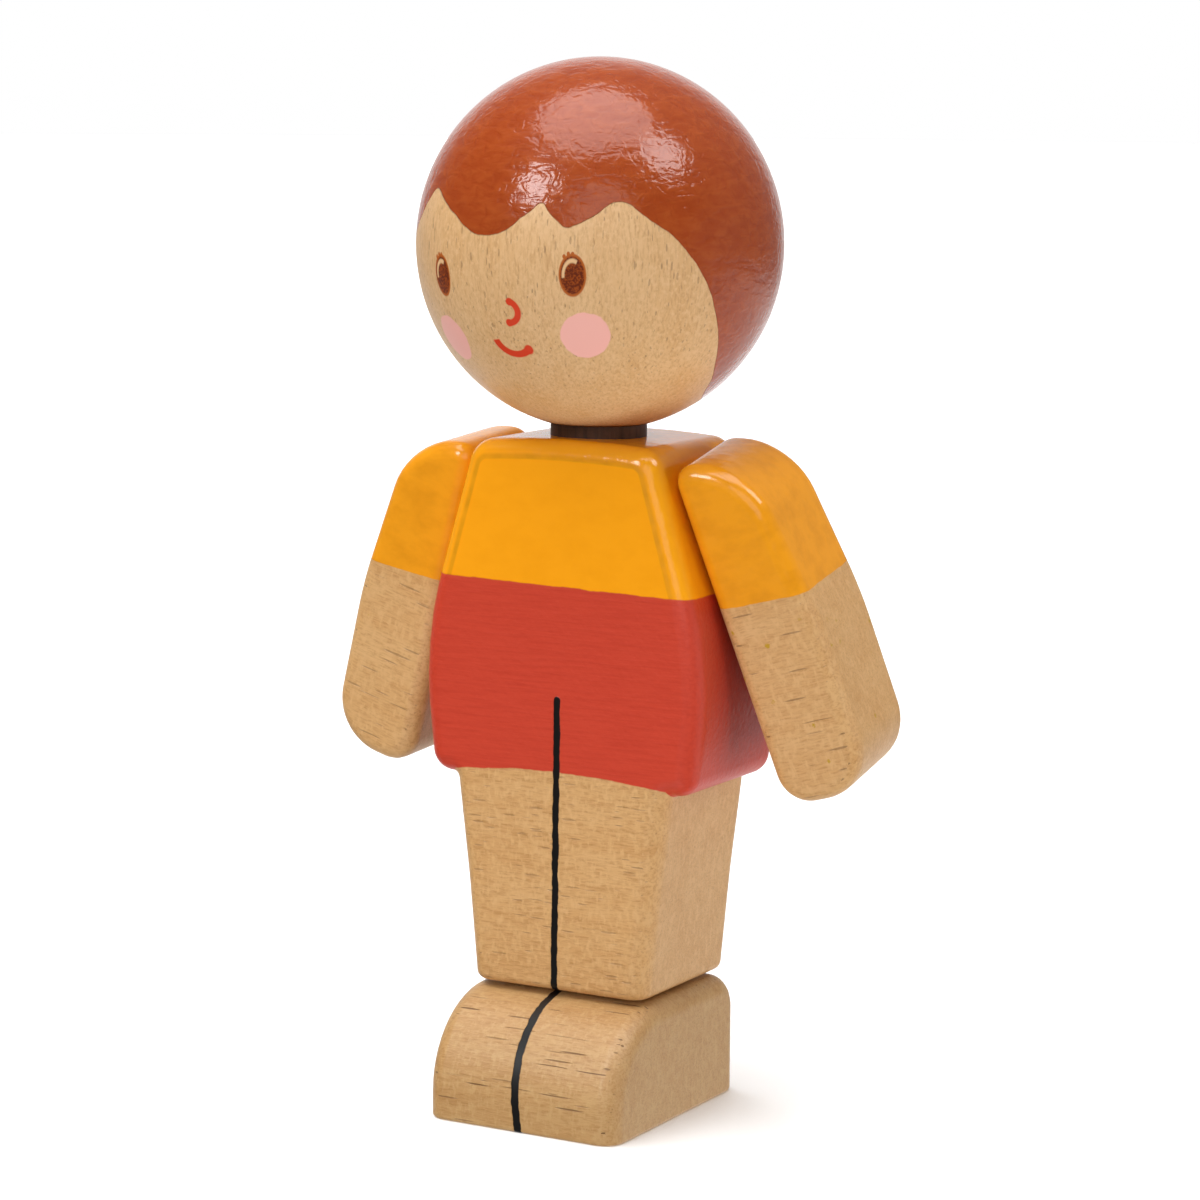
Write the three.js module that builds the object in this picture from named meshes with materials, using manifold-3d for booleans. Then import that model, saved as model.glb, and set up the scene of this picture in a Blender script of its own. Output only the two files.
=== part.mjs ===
// Wooden toy figure: a turned ball head on a round neck, a plank body with a foot block, and two arms
// that swing on pegs set square to the body's slanted sides. Millimetres, +Z up, the figure faces -Y.
// The origin is on the neck's axis, at the underside of the foot block.

import * as THREE from 'three';
import { mergeVertices } from 'three/addons/utils/BufferGeometryUtils.js';
import Module from 'manifold-3d';

const wasm = await Module();
wasm.setup();

// Fits shared by every joint, and the fineness of round shapes
const GLUE_GAP = 0.3;
const RUN_GAP = 0.1;
const ROUND_SIDES = 32;
const ARC_STEPS = 5;
const EDGE_STEPS = 4;
const RING_WIRE_SIDES = 8;

// Body plank: half-widths and heights of its front outline, thickness and rounded edges.
// The neck stands a little in front of the plank's middle.
const BODY_THICK = 17.4;
const NECK_FORWARD = 1.0;
const BODY_EDGE_R = 2.0;
const LEG_BASE_HALF = 9.5;
const LEG_BEND_HALF = 10.5;
const LEG_BEND_Z = 22.5;
const LEG_BEND_R = 60;
const LEG_TOP_HALF = 11.75;
const HEM_Z = 32.4;
const HEM_R = 0.6;
const HEM_OVERHANG = 2.6;
const HIP_R = 2.15;
const WAIST_Z = 45;
const WAIST_R = 30;
const SHOULDER_Z = 64.95;
const SHOULDER_R = 2.6;
const CROWN_RISE = 0.7;
const CROWN_R = 90;

// Slanted sides that carry the arms
const SIDE_TILT = THREE.MathUtils.degToRad(16.2);
const PIVOT_DROP = 7.95;
const PIVOT_HALF = 12.25;

// Foot block
const FOOT_WIDTH = 20.8;
const FOOT_FRONT = 14.55;
const FOOT_BACK = 10.4;
const FOOT_HEIGHT = 12;
const FOOT_EDGE_R = 2.0;
const TOE_R = 9.5;
const HEEL_TOP_R = 3.5;

// Glued dowels between the legs and the foot block
const ANKLE_DOWEL_R = 3;
const ANKLE_DOWEL_HALF_SPAN = 5;
const ANKLE_IN_FOOT = 7;
const ANKLE_IN_LEG = 9;

// Neck dowel and head
const NECK_R = 4.62;
const NECK_IN_BODY = 8;
const NECK_SHOWING = 1.05;
const NECK_IN_HEAD = 11;
const HEAD_R = 17.5;
const HEAD_HALF_HEIGHT = 17.65;
const HEAD_RINGS = 28;
const HEAD_SIDES = 48;

// Arms: outline seen from the front, measured from the pivot and from the inner face
const ARM_DEPTH = 12;
const ARM_EDGE_R = 1.75;
const ARM_TOP = 7.85;
const ARM_TOP_INNER_R = 1.9;
const ARM_SHOULDER_WIDTH = 7.9;
const ARM_SHOULDER_DROP = 2.1;
const ARM_SHOULDER_R = 7.5;
const ARM_ELBOW_WIDTH = 9.8;
const ARM_ELBOW = 10;
const ARM_ELBOW_R = 40;
const ARM_HAND_WIDTH = 9.7;
const ARM_HAND = 26.8;
const ARM_HAND_OUTER_R = 5.4;
const ARM_HAND_INNER_R = 3.2;
const LEFT_SWING_BACK = THREE.MathUtils.degToRad(11);
const RIGHT_SWING_BACK = THREE.MathUtils.degToRad(4.8);

// Shoulder pegs, glued into the arms and turning in the body
const PEG_R = 2.5;
const PEG_IN_ARM = 5;
const PEG_IN_BODY = 5.2;

// Rubber rings in grooves that give the neck and the pegs their drag
const RING_WIRE_R = 0.5;
const NECK_RING_ABOVE = 6;
const PEG_RING_INSIDE = 2.6;

// Sizes that follow from the ones above
const RING_GROOVE = 2 * RING_WIRE_R + RUN_GAP;
const LEG_BASE_Z = FOOT_HEIGHT + GLUE_GAP;
const PIVOT_Z = SHOULDER_Z - PIVOT_DROP;

// Length left on a blank below a sawn end
const SAW_SPARE = 6;

const bareWood = new THREE.MeshStandardMaterial({ color: 0xc9a06a, roughness: 0.5, metalness: 0 });
const headWood = new THREE.MeshStandardMaterial({ color: 0xcfa873, roughness: 0.45, metalness: 0 });
const bodyWood = new THREE.MeshStandardMaterial({ color: 0xd8923a, roughness: 0.45, metalness: 0 });
const dowelWood = new THREE.MeshStandardMaterial({ color: 0xd9bc8c, roughness: 0.6, metalness: 0 });
const rubber = new THREE.MeshStandardMaterial({ color: 0x2b2a28, roughness: 0.8, metalness: 0 });

// Drawn shape with its seams welded, before it is turned or moved
function weld(geometry) {
  geometry.deleteAttribute('normal');
  geometry.deleteAttribute('uv');
  return mergeVertices(geometry, 1e-4);
}

// Closed body of a welded shape, ready to be cut
function solid(geometry) {
  return new wasm.Manifold(new wasm.Mesh({
    numProp: 3,
    vertProperties: new Float32Array(geometry.attributes.position.array),
    triVerts: new Uint32Array(geometry.index.array),
  }));
}

function piece(name, body, material) {
  const cut = body.getMesh();
  const geometry = new THREE.BufferGeometry();
  geometry.setAttribute('position', new THREE.BufferAttribute(cut.vertProperties, 3));
  geometry.setIndex(new THREE.BufferAttribute(cut.triVerts, 1));
  geometry.computeVertexNormals();
  const mesh = new THREE.Mesh(geometry, material);
  mesh.name = name;
  return mesh;
}

// Closed outline through corners [x, y, radius], each rounded by an arc. Where two arcs would need
// more than the edge between them, both give way in proportion. Tells the tightest outside corner too.
function roundedOutline(corners) {
  const points = corners.map(([x, y]) => new THREE.Vector2(x, y));
  const bends = corners.map(([, , radius], i) => {
    const before = points.at(i - 1).clone().sub(points[i]);
    const after = points[(i + 1) % points.length].clone().sub(points[i]);
    const half = Math.acos(before.dot(after) / before.length() / after.length()) / 2;
    return { before, after, half, radius, reach: radius / Math.tan(half) };
  });
  const outline = new THREE.Shape();
  let tightest = Infinity;
  bends.forEach(({ before, after, half, radius, reach }, i) => {
    const needBefore = reach + bends.at(i - 1).reach;
    const needAfter = reach + bends[(i + 1) % bends.length].reach;
    const room = Math.min(before.length() / needBefore, after.length() / needAfter);
    const ease = Math.min(1, 0.92 * room);
    const clockwise = before.cross(after) > 0;
    tightest = clockwise ? tightest : Math.min(tightest, radius * ease);
    const start = before.clone().setLength(reach * ease);
    const end = after.clone().setLength(reach * ease);
    const centre = start.clone().add(end).setLength(radius * ease / Math.sin(half));
    const startAngle = start.sub(centre).angle();
    const endAngle = end.sub(centre).angle();
    centre.add(points[i]);
    outline.absarc(centre.x, centre.y, radius * ease, startAngle, endAngle, clockwise);
  });
  return { outline, tightest };
}

// Plank sawn to an outline in X and Z, centred on Y = 0. Its front and back edges are rounded over,
// as far as the tightest outside corner allows.
function plank(corners, thickness, edgeRadius) {
  const { outline, tightest } = roundedOutline(corners);
  const edge = Math.min(edgeRadius, 0.94 * tightest);
  const geometry = weld(new THREE.ExtrudeGeometry(outline, {
    depth: thickness - 2 * edge,
    curveSegments: ARC_STEPS,
    bevelThickness: edge,
    bevelSize: edge,
    bevelOffset: -edge,
    bevelSegments: EDGE_STEPS,
  }));
  geometry.translate(0, 0, edge - thickness / 2);
  geometry.rotateX(Math.PI / 2);
  return geometry;
}

// Round rod along Z between two heights
function rod(radius, low, high) {
  const geometry = weld(new THREE.CylinderGeometry(radius, radius, high - low, ROUND_SIDES));
  geometry.rotateX(Math.PI / 2);
  geometry.translate(0, 0, (low + high) / 2);
  return geometry;
}

// Rod along Z with one round groove for a rubber ring
function groovedRod(radius, low, high, grooveHeight) {
  const floor = radius - RING_GROOVE;
  const half = RING_WIRE_R + RUN_GAP;
  const profile = [
    [0, low],
    [radius, low],
    [radius, grooveHeight - half],
    [floor, grooveHeight - half],
    [floor, grooveHeight + half],
    [radius, grooveHeight + half],
    [radius, high],
    [0, high],
  ];
  const points = profile.map(([x, y]) => new THREE.Vector2(x, y));
  const geometry = weld(new THREE.LatheGeometry(points, ROUND_SIDES));
  geometry.rotateX(Math.PI / 2);
  return geometry;
}

// Rubber ring lying in the groove of a rod of the given radius
function ring(radius, height) {
  const lineRadius = radius - RING_GROOVE + RUN_GAP + RING_WIRE_R;
  const geometry = weld(new THREE.TorusGeometry(lineRadius, RING_WIRE_R, RING_WIRE_SIDES, ROUND_SIDES));
  geometry.translate(0, 0, height);
  return geometry;
}

// Block that takes off everything below a height
function below(z) {
  const block = weld(new THREE.BoxGeometry(8 * FOOT_WIDTH, 8 * FOOT_WIDTH, SAW_SPARE * 4));
  block.translate(0, 0, z - SAW_SPARE * 2);
  return solid(block);
}

// Half-width of the slanted side at a height
function sideHalf(z) {
  return PIVOT_HALF + Math.tan(SIDE_TILT) * (PIVOT_Z - z);
}

// Places a piece drawn round its pivot, X away from the body and Z up the slanted side.
// The left arm is on +X. The right one is the same piece turned half round the upright.
function atShoulder(geometry, isLeft, swingBack) {
  geometry.rotateX(isLeft ? swingBack : -swingBack);
  geometry.rotateY(-SIDE_TILT);
  geometry.translate(PIVOT_HALF, 0, PIVOT_Z);
  geometry.rotateZ(isLeft ? 0 : Math.PI);
  geometry.translate(0, NECK_FORWARD, 0);
  return geometry;
}

// Rods of the shoulder run along X
function alongX(geometry) {
  geometry.rotateY(Math.PI / 2);
  return geometry;
}

// Body plank with bores for the neck, the pegs and the ankle dowels
const legTaper = (LEG_BEND_HALF - LEG_BASE_HALF) / (LEG_BEND_Z - LEG_BASE_Z);
const halfOutline = [
  [LEG_BASE_HALF - SAW_SPARE * legTaper, LEG_BASE_Z - SAW_SPARE, HIP_R],
  [LEG_BEND_HALF, LEG_BEND_Z, LEG_BEND_R],
  [LEG_TOP_HALF, HEM_Z, HEM_R],
  [LEG_TOP_HALF + HEM_OVERHANG, HEM_Z, HIP_R],
  [sideHalf(WAIST_Z), WAIST_Z, WAIST_R],
  [sideHalf(SHOULDER_Z), SHOULDER_Z, SHOULDER_R],
];
const crown = [0, SHOULDER_Z + CROWN_RISE, CROWN_R];
const crownSlope = Math.atan(CROWN_RISE / sideHalf(SHOULDER_Z));
const bodyTop = SHOULDER_Z + CROWN_RISE - CROWN_R * (1 / Math.cos(crownSlope) - 1);
const otherHalf = halfOutline.map(([x, z, r]) => [-x, z, r]).reverse();
const bodyBlank = plank([...halfOutline, crown, ...otherHalf], BODY_THICK, BODY_EDGE_R);
bodyBlank.translate(0, NECK_FORWARD, 0);
const neckFoot = bodyTop - NECK_IN_BODY;
let body = solid(bodyBlank).subtract(below(LEG_BASE_Z));
body = body.subtract(solid(rod(NECK_R + GLUE_GAP / 2, neckFoot - GLUE_GAP, bodyTop + NECK_IN_BODY)));
for (const isLeft of [true, false]) {
  const bore = alongX(rod(PEG_R + RUN_GAP, -PEG_IN_BODY - GLUE_GAP, PEG_IN_BODY));
  body = body.subtract(solid(atShoulder(bore, isLeft, 0)));
}

// Foot block: one side profile with a quarter-round toe, its upright edges rounded, its sole flat
const footProfile = [
  [-FOOT_FRONT, -SAW_SPARE, HEEL_TOP_R],
  [FOOT_BACK, -SAW_SPARE, HEEL_TOP_R],
  [FOOT_BACK, FOOT_HEIGHT, HEEL_TOP_R],
  [-FOOT_FRONT, FOOT_HEIGHT, TOE_R],
];
const footBlank = plank(footProfile, FOOT_WIDTH, FOOT_EDGE_R);
footBlank.rotateZ(Math.PI / 2);
let foot = solid(footBlank).subtract(below(0));

// Ankle dowels, and their bores in the legs and in the foot block
const ankleLow = FOOT_HEIGHT - ANKLE_IN_FOOT;
const ankleHigh = LEG_BASE_Z + ANKLE_IN_LEG;
const ankles = [];
for (const [side, x] of [['left', ANKLE_DOWEL_HALF_SPAN], ['right', -ANKLE_DOWEL_HALF_SPAN]]) {
  const dowel = rod(ANKLE_DOWEL_R, ankleLow, ankleHigh);
  const bore = rod(ANKLE_DOWEL_R + GLUE_GAP / 2, ankleLow - GLUE_GAP, ankleHigh + GLUE_GAP);
  dowel.translate(x, NECK_FORWARD, 0);
  bore.translate(x, NECK_FORWARD, 0);
  body = body.subtract(solid(bore));
  foot = foot.subtract(solid(bore));
  ankles.push(piece('ankle_dowel_' + side, solid(dowel), dowelWood));
}

// Neck dowel, glued into the body, and the rubber ring round it
const headFoot = bodyTop + NECK_SHOWING;
const neckTop = headFoot + NECK_IN_HEAD;
const neckRingZ = headFoot + NECK_RING_ABOVE;
const neck = piece('neck_dowel', solid(groovedRod(NECK_R, neckFoot, neckTop, neckRingZ)), dowelWood);
const neckRing = piece('neck_ring', solid(ring(NECK_R, neckRingZ)), rubber);

// Head: a turned ball with a blind bore for the neck
const headCentre = headFoot + HEAD_HALF_HEIGHT * Math.sqrt(1 - (NECK_R / HEAD_R) ** 2);
const ball = weld(new THREE.SphereGeometry(HEAD_R, HEAD_SIDES, HEAD_RINGS));
ball.rotateX(Math.PI / 2);
ball.scale(1, 1, HEAD_HALF_HEIGHT / HEAD_R);
ball.translate(0, 0, headCentre);
const headBore = rod(NECK_R + RUN_GAP, bodyTop - NECK_IN_HEAD, neckTop + GLUE_GAP);
const head = piece('head', solid(ball).subtract(solid(headBore)), headWood);

// Arms, pegs and peg rings
const armCorners = [
  [GLUE_GAP, ARM_TOP, ARM_TOP_INNER_R],
  [GLUE_GAP, -ARM_HAND, ARM_HAND_INNER_R],
  [GLUE_GAP + ARM_HAND_WIDTH, -ARM_HAND, ARM_HAND_OUTER_R],
  [GLUE_GAP + ARM_ELBOW_WIDTH, -ARM_ELBOW, ARM_ELBOW_R],
  [GLUE_GAP + ARM_SHOULDER_WIDTH, ARM_TOP - ARM_SHOULDER_DROP, ARM_SHOULDER_R],
];
const shoulders = [];
const poses = [['left', true, LEFT_SWING_BACK], ['right', false, RIGHT_SWING_BACK]];
for (const [side, isLeft, swingBack] of poses) {
  const seat = (geometry) => solid(atShoulder(geometry, isLeft, swingBack));
  const pegOut = GLUE_GAP + PEG_IN_ARM;
  const bore = seat(alongX(rod(PEG_R + GLUE_GAP / 2, -PEG_IN_BODY, pegOut + GLUE_GAP)));
  const arm = seat(plank(armCorners, ARM_DEPTH, ARM_EDGE_R)).subtract(bore);
  const peg = seat(alongX(groovedRod(PEG_R, -PEG_IN_BODY, pegOut, -PEG_RING_INSIDE)));
  const pegRing = seat(alongX(ring(PEG_R, -PEG_RING_INSIDE)));
  shoulders.push(piece('arm_' + side, arm, bareWood));
  shoulders.push(piece('shoulder_peg_' + side, peg, dowelWood));
  shoulders.push(piece('shoulder_ring_' + side, pegRing, rubber));
}

const figure = new THREE.Group();
figure.name = 'toy_figure';
figure.add(piece('body', body, bodyWood));
figure.add(piece('foot_block', foot, bareWood));
figure.add(...ankles);
figure.add(neck);
figure.add(neckRing);
figure.add(head);
figure.add(...shoulders);

export default figure;
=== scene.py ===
import math

import bmesh
import bpy
from mathutils import Matrix, Vector


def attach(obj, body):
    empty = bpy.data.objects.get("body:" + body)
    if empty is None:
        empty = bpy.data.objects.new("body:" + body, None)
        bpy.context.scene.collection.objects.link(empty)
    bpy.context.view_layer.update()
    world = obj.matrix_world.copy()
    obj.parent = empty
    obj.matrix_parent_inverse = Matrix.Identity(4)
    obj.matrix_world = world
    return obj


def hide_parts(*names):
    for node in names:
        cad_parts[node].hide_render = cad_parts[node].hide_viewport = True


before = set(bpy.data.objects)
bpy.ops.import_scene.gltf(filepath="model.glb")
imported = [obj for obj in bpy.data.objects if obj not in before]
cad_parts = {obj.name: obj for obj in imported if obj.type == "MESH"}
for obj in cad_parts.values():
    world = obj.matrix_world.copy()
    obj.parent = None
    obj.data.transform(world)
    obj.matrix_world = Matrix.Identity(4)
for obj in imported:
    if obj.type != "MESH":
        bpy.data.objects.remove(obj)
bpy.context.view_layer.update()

# Foot block
# One short block of rubberwood that stands for both shoes. It is sawn to a side profile with a big
# round toe, sanded round along every edge, lacquered, and glued and dowelled under the legs.
MM = 0.001
FOOT_WIDTH = 20.8
FOOT_FRONT, FOOT_BACK, FOOT_HEIGHT = -14.55, 10.4, 12.0
FOOT_CORNER, TOE_ROUND = 3.5, 9.5
FOOT_EDGE_ROUND, SOLE_ARRIS = 2.0, 0.35
SAW_SPARE = 6.0
FOOT_PROFILE = [
    (FOOT_FRONT, -SAW_SPARE, FOOT_CORNER),
    (FOOT_BACK, -SAW_SPARE, FOOT_CORNER),
    (FOOT_BACK, FOOT_HEIGHT, FOOT_CORNER),
    (FOOT_FRONT, FOOT_HEIGHT, TOE_ROUND),
]
# degrees turned by one facet of a sawn corner, and the fewest facets that a corner gets
FACET_TURN, FEWEST_FACETS = 7, 4
EDGE_FACETS, ARRIS_FACETS = 7, 4
MERGE, CUT_SLACK = 1e-4, 1e-5


def sawn_blank(corners, thickness, edge_round):
    """A board sawn to an outline of (across, up, corner radius) in mm, its edges sanded round."""
    board = bmesh.new()
    points = [Vector((across, 0, up)) for across, up, _ in corners]
    posts = [board.verts.new(point) for point in points]
    board.faces.new(posts)
    for i, post in enumerate(posts):
        before = (points[i - 1] - points[i]).normalized()
        after = (points[(i + 1) % len(points)] - points[i]).normalized()
        inside = before.angle(after)
        turn = math.degrees(math.pi - inside)
        bmesh.ops.bevel(
            board, geom=[post], affect="VERTICES", offset_type="OFFSET", profile=0.5, material=-1,
            offset=corners[i][2] / math.tan(inside / 2),
            segments=max(FEWEST_FACETS, math.ceil(turn / FACET_TURN)))
    pushed = bmesh.ops.extrude_face_region(board, geom=board.faces[:])
    moved = [part for part in pushed["geom"] if isinstance(part, bmesh.types.BMVert)]
    bmesh.ops.translate(board, verts=moved, vec=(0, thickness, 0))
    bmesh.ops.translate(board, verts=board.verts, vec=(0, -thickness / 2, 0))
    bmesh.ops.recalc_face_normals(board, faces=board.faces)
    rims = [
        edge for edge in board.edges
        if abs(edge.verts[0].co.y - edge.verts[1].co.y) < thickness / 2]
    bmesh.ops.bevel(
        board, geom=rims, affect="EDGES", offset_type="OFFSET", profile=0.5, material=-1,
        offset=edge_round, segments=EDGE_FACETS, clamp_overlap=False)
    return board


def saw_flat(board, height, arris):
    """Saws a board off flat below a height and takes the sharp arris off the cut."""
    everything = board.verts[:] + board.edges[:] + board.faces[:]
    cut = bmesh.ops.bisect_plane(
        board, geom=everything, dist=CUT_SLACK, plane_co=(0, 0, height), plane_no=(0, 0, -1),
        clear_outer=True)
    rim = [part for part in cut["geom_cut"] if isinstance(part, bmesh.types.BMEdge)]
    bmesh.ops.edgenet_fill(board, edges=rim)
    bmesh.ops.recalc_face_normals(board, faces=board.faces)
    bmesh.ops.bevel(
        board, geom=rim, affect="EDGES", offset_type="OFFSET", profile=0.5, material=-1,
        offset=arris, segments=ARRIS_FACETS, clamp_overlap=False)


def settle(name, shape, material, body, slot, *nodes):
    """Turns a shape in mm into a piece that stands for its CAD nodes and moves with a body."""
    bmesh.ops.remove_doubles(shape, verts=shape.verts, dist=MERGE)
    bmesh.ops.recalc_face_normals(shape, faces=shape.faces)
    bmesh.ops.scale(shape, vec=(MM, MM, MM), verts=shape.verts)
    for face in shape.faces:
        face.smooth = True
    mesh = bpy.data.meshes.new(name)
    shape.to_mesh(mesh)
    shape.free()
    mesh.materials.append(material)
    piece = bpy.data.objects.new(name, mesh)
    bpy.context.scene.collection.objects.link(piece)
    level = piece.modifiers.new("flats stay flat", "WEIGHTED_NORMAL")
    level.mode = "FACE_AREA"
    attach(piece, body)
    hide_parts(*nodes)


def add(tree, kind, inputs=None, **settings):
    """Adds one node with its settings; a node or socket as an input is linked, a value is set."""
    node = tree.nodes.new("ShaderNode" + kind)
    for setting, value in settings.items():
        setattr(node, setting, value)
    for place, value in (inputs or {}).items():
        if isinstance(value, bpy.types.Node):
            value = value.outputs[0]
        if isinstance(value, bpy.types.NodeSocket):
            tree.links.new(value, node.inputs[place])
        else:
            node.inputs[place].default_value = value
    return node


def linear(code):
    """An sRGB hex colour as the linear colour that a shader takes."""
    channels = [int(code[i:i + 2], 16) / 255 for i in (1, 3, 5)]
    light = [c / 12.92 if c <= 0.04045 else ((c + 0.055) / 1.055) ** 2.4 for c in channels]
    return (*light, 1.0)


def blank_material(name):
    """An empty material, with its node tree."""
    material = bpy.data.materials.new(name)
    material.use_nodes = True
    material.node_tree.nodes.clear()
    return material, material.node_tree


def millimetres(tree, place=(0, 0, 0), turn=(0, 0, 0)):
    """Coordinates in mm from a place on the piece, turned as the piece's own grain is turned."""
    spot = add(tree, "TexCoord").outputs["Object"]
    return add(tree, "Mapping", {
        "Vector": spot, "Location": [p * MM for p in place],
        "Rotation": [math.radians(t) for t in turn], "Scale": (MM, MM, MM)}, vector_type="TEXTURE")


# Rubberwood under satin lacquer: a warm tan with faint bands, fine fibre along the grain, pale ray
# flecks, and open pores that show as dark dashes 2 to 7 mm long, or as dots on the end grain.
BOARD_TAN, BOARD_PALE, BOARD_DEEP, WOOD_PORE = "#cd9b62", "#d9ac75", "#b4824a", "#6b4726"
BOARD = BOARD_TAN, BOARD_PALE, BOARD_DEEP
LACQUER_ROUGH = 0.38
# patterns in each mm, along the grain and across it: bands 20 mm long and 2.5 mm apart, fibres
# 1.4 mm long and 0.22 mm wide, and flecks half a mm wide
BANDS_A_MM, FIBRES_A_MM, FLECKS_A_MM = (0.05, 0.4, 0.4), (0.7, 4.5, 4.5), 2.1
# each row of pores starts this share of a pore further on than the last, so that no columns show
ROW_STEP, LAYER_STEP = 0.618, 0.377
# the lacquer seals the pores on the end grain, and leaves only this share of them
SEALED_FROM, SEALED_TO, SEALED_LEFT = 0.5, 0.85, 0.22
# in a Mix node, socket 0 is the share, 2 and 3 are numbers, and 6 and 7 are colours


def rubberwood(tree, grain, along, pore_gap, pore_length, pore_dark, shades=BOARD, fleck_tall=0.9):
    """Rubberwood with its grain along the X of the mm coordinates, a line on the piece itself."""
    tan, pale, deep = (linear(shade) for shade in shades)
    broad = add(tree, "Mapping", {"Vector": grain, "Scale": BANDS_A_MM})
    bands = add(tree, "TexNoise", {"Vector": broad, "Scale": 1.0, "Detail": 3.0, "Roughness": 0.55})
    band_mix = add(tree, "MapRange", {"Value": bands, "From Min": 0.3, "From Max": 0.75})
    ground = add(tree, "Mix", {0: band_mix, 6: tan, 7: pale}, data_type="RGBA")
    close = add(tree, "Mapping", {"Vector": grain, "Scale": FIBRES_A_MM})
    fibre = add(tree, "TexNoise", {"Vector": close, "Scale": 1.0, "Detail": 3.0, "Roughness": 0.7})
    fibre_mix = add(tree, "MapRange", {
        "Value": fibre, "From Min": 0.44, "From Max": 0.74, "To Max": 0.85})
    fibred = add(tree, "Mix", {0: fibre_mix, 6: ground.outputs[2], 7: deep}, data_type="RGBA")
    ray = add(tree, "Mapping", {
        "Vector": grain, "Scale": (FLECKS_A_MM, FLECKS_A_MM, 1 / fleck_tall)})
    fleck = add(tree, "TexNoise", {"Vector": ray, "Scale": 1.0, "Detail": 2.0, "Roughness": 0.6})
    fleck_mix = add(tree, "MapRange", {
        "Value": fleck, "From Min": 0.48, "From Max": 0.68, "To Max": 0.85})
    flecked = add(tree, "Mix", {0: fleck_mix, 6: fibred.outputs[2], 7: pale}, data_type="RGBA")

    cell = add(tree, "Mapping", {
        "Vector": grain, "Scale": (1 / pore_length, 1 / pore_gap, 1 / pore_gap)})
    part = add(tree, "SeparateXYZ", {"Vector": cell})
    row = add(tree, "Math", {0: part.outputs["Z"]}, operation="FLOOR")
    layer = add(tree, "Math", {0: part.outputs["Y"]}, operation="FLOOR")
    step = add(tree, "Math", {0: row, 1: ROW_STEP, 2: part.outputs["X"]}, operation="MULTIPLY_ADD")
    step = add(tree, "Math", {0: layer, 1: LAYER_STEP, 2: step}, operation="MULTIPLY_ADD")
    staggered = add(tree, "CombineXYZ", {
        "X": step, "Y": part.outputs["Y"], "Z": part.outputs["Z"]})
    pores = add(tree, "TexVoronoi", {"Vector": staggered, "Scale": 1.0, "Randomness": 1.0})
    pick = add(tree, "SeparateColor", {"Color": pores.outputs["Color"]})
    width = add(tree, "MapRange", {
        "Value": pick.outputs["Red"], "From Min": 0.2, "From Max": 1.0, "To Max": 0.33})
    depth = add(tree, "Math", {0: width, 1: pores.outputs["Distance"]}, operation="SUBTRACT")
    pore = add(tree, "MapRange", {"Value": depth, "From Max": 0.07})
    facing = add(tree, "TexCoord").outputs["Normal"]
    end_on = add(tree, "VectorMath", {0: facing, 1: along}, operation="DOT_PRODUCT")
    end_on = add(tree, "Math", {0: end_on.outputs["Value"]}, operation="ABSOLUTE")
    sealed = add(tree, "MapRange", {
        "Value": end_on, "From Min": SEALED_FROM, "From Max": SEALED_TO,
        "To Min": 1.0, "To Max": SEALED_LEFT})
    pore = add(tree, "Math", {0: pore, 1: sealed}, operation="MULTIPLY")
    dark = add(tree, "MapRange", {
        "Value": pick.outputs["Green"], "To Min": 0.3 * pore_dark, "To Max": pore_dark})
    strong = add(tree, "Math", {0: pore, 1: dark}, operation="MULTIPLY")
    colour = add(tree, "Mix", {
        0: strong, 6: flecked.outputs[2], 7: linear(WOOD_PORE)}, data_type="RGBA")
    dent = add(tree, "Math", {0: pore, 1: -1.0, 2: fibre}, operation="MULTIPLY_ADD")
    return {"colour": colour.outputs[2], "rough": LACQUER_ROUGH, "height": dent.outputs[0]}


def lay_over(tree, under, over, where):
    """One finish laid over another where a mask says: its colour, its roughness and its surface."""
    colour = add(tree, "Mix", {0: where, 6: under["colour"], 7: over["colour"]}, data_type="RGBA")
    rough = add(tree, "Mix", {0: where, 2: under["rough"], 3: over["rough"]})
    height = add(tree, "Mix", {0: where, 2: under["height"], 3: over["height"]})
    return {"colour": colour.outputs[2], "rough": rough.outputs[0], "height": height.outputs[0]}


def show(tree, finish, relief=0.05):
    """Ends a material: the finish's colour, its roughness, and its surface as mm of relief."""
    bump = add(tree, "Bump", {"Height": finish["height"], "Distance": relief * MM, "Strength": 1.0})
    surface = add(tree, "BsdfPrincipled", {
        "Base Color": finish["colour"], "Roughness": finish["rough"], "Normal": bump, "IOR": 1.5})
    add(tree, "OutputMaterial", {"Surface": surface})


# The brushed line that parts the two shoes: matt black paint, 0.7 mm wide and a little uneven. It
# leans to the figure's right as it climbs, and ends behind the toe.
LINE_BLACK, LINE_PROUD = "#0d0c0b", 1.6
BRUSH_SHAKE = 0.36
FOOT_LINE_TALL, FOOT_LINE_BOW, FOOT_LINE_HALF = 9.5, 0.62, 0.41
FOOT_LINE_END, LINE_FADE = -5.0, 1.0


def brushed_line(tree, away, place, half_width):
    """A mask for a brushed line from the distance to its middle, with a hand's unevenness."""
    shake = add(tree, "TexNoise", {"Vector": place, "Scale": 0.9, "Detail": 3.0})
    reach = add(tree, "Math", {
        0: shake, 1: BRUSH_SHAKE, 2: half_width - BRUSH_SHAKE / 2}, operation="MULTIPLY_ADD")
    inside = add(tree, "Math", {0: reach, 1: away}, operation="SUBTRACT")
    return add(tree, "MapRange", {"Value": inside, "From Min": -0.03, "From Max": 0.05})


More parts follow.
